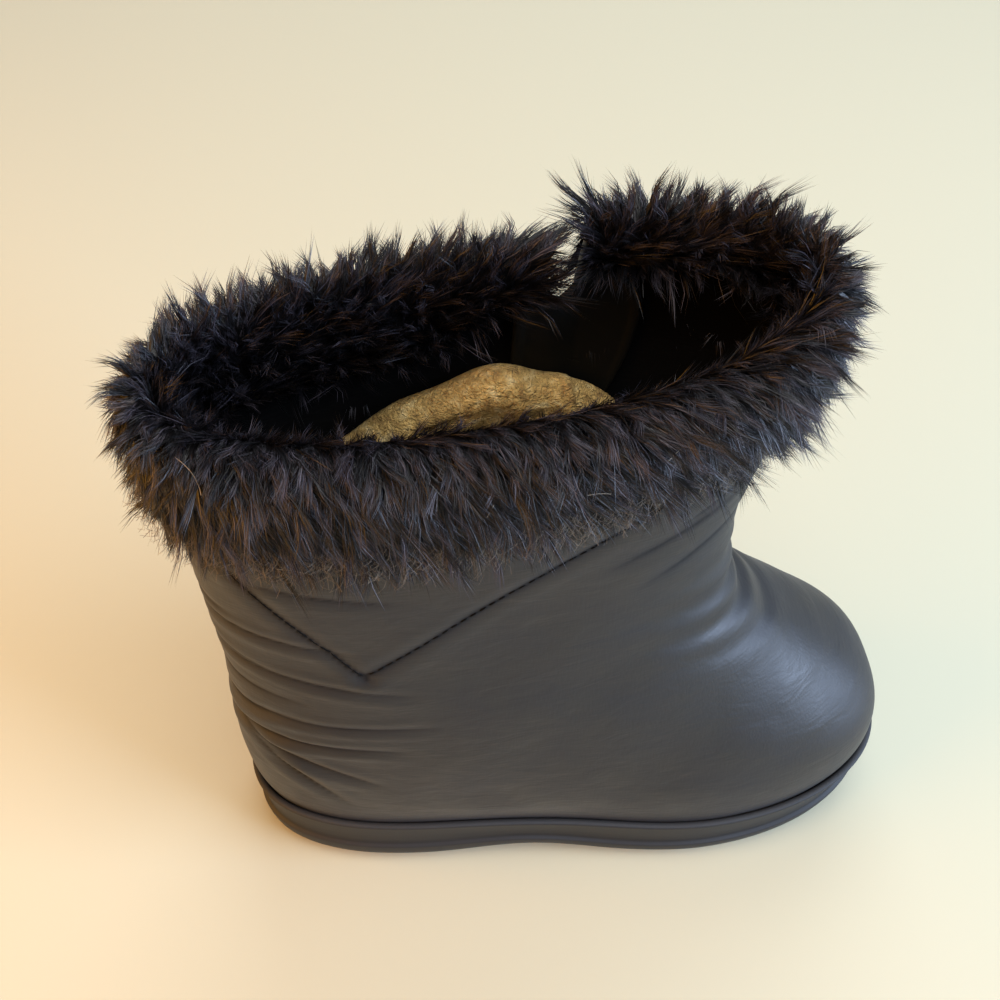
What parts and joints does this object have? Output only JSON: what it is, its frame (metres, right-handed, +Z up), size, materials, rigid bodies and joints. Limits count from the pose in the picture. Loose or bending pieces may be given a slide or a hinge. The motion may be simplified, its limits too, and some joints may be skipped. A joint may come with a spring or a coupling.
{
  "type": "snow boot",
  "caption": "Small child's pull-on snow boot for the left foot, with a moulded rubber sole, slack black nylon shaft, felt lining and a deep fur cuff split on its outer side",
  "frame": {"origin": "on the floor, under the middle of the boot's bounding box", "axes": "+X from heel to toe, +Y to the wearer's left, which is the outer side, +Z up"},
  "size_m": [0.1736, 0.0702, 0.1857],
  "materials": {
    "rubber": "matt moulded",
    "felt": "matt brushed",
    "nylon": "softly shining woven",
    "lining_cloth": "smooth woven",
    "fur": "deep pile"
  },
  "bodies": {
    "root": {"sole": "rubber", "insole": "felt", "upper": "nylon", "gusset": "lining_cloth", "fur_cuff": "fur"}
  },
  "joints": []
}
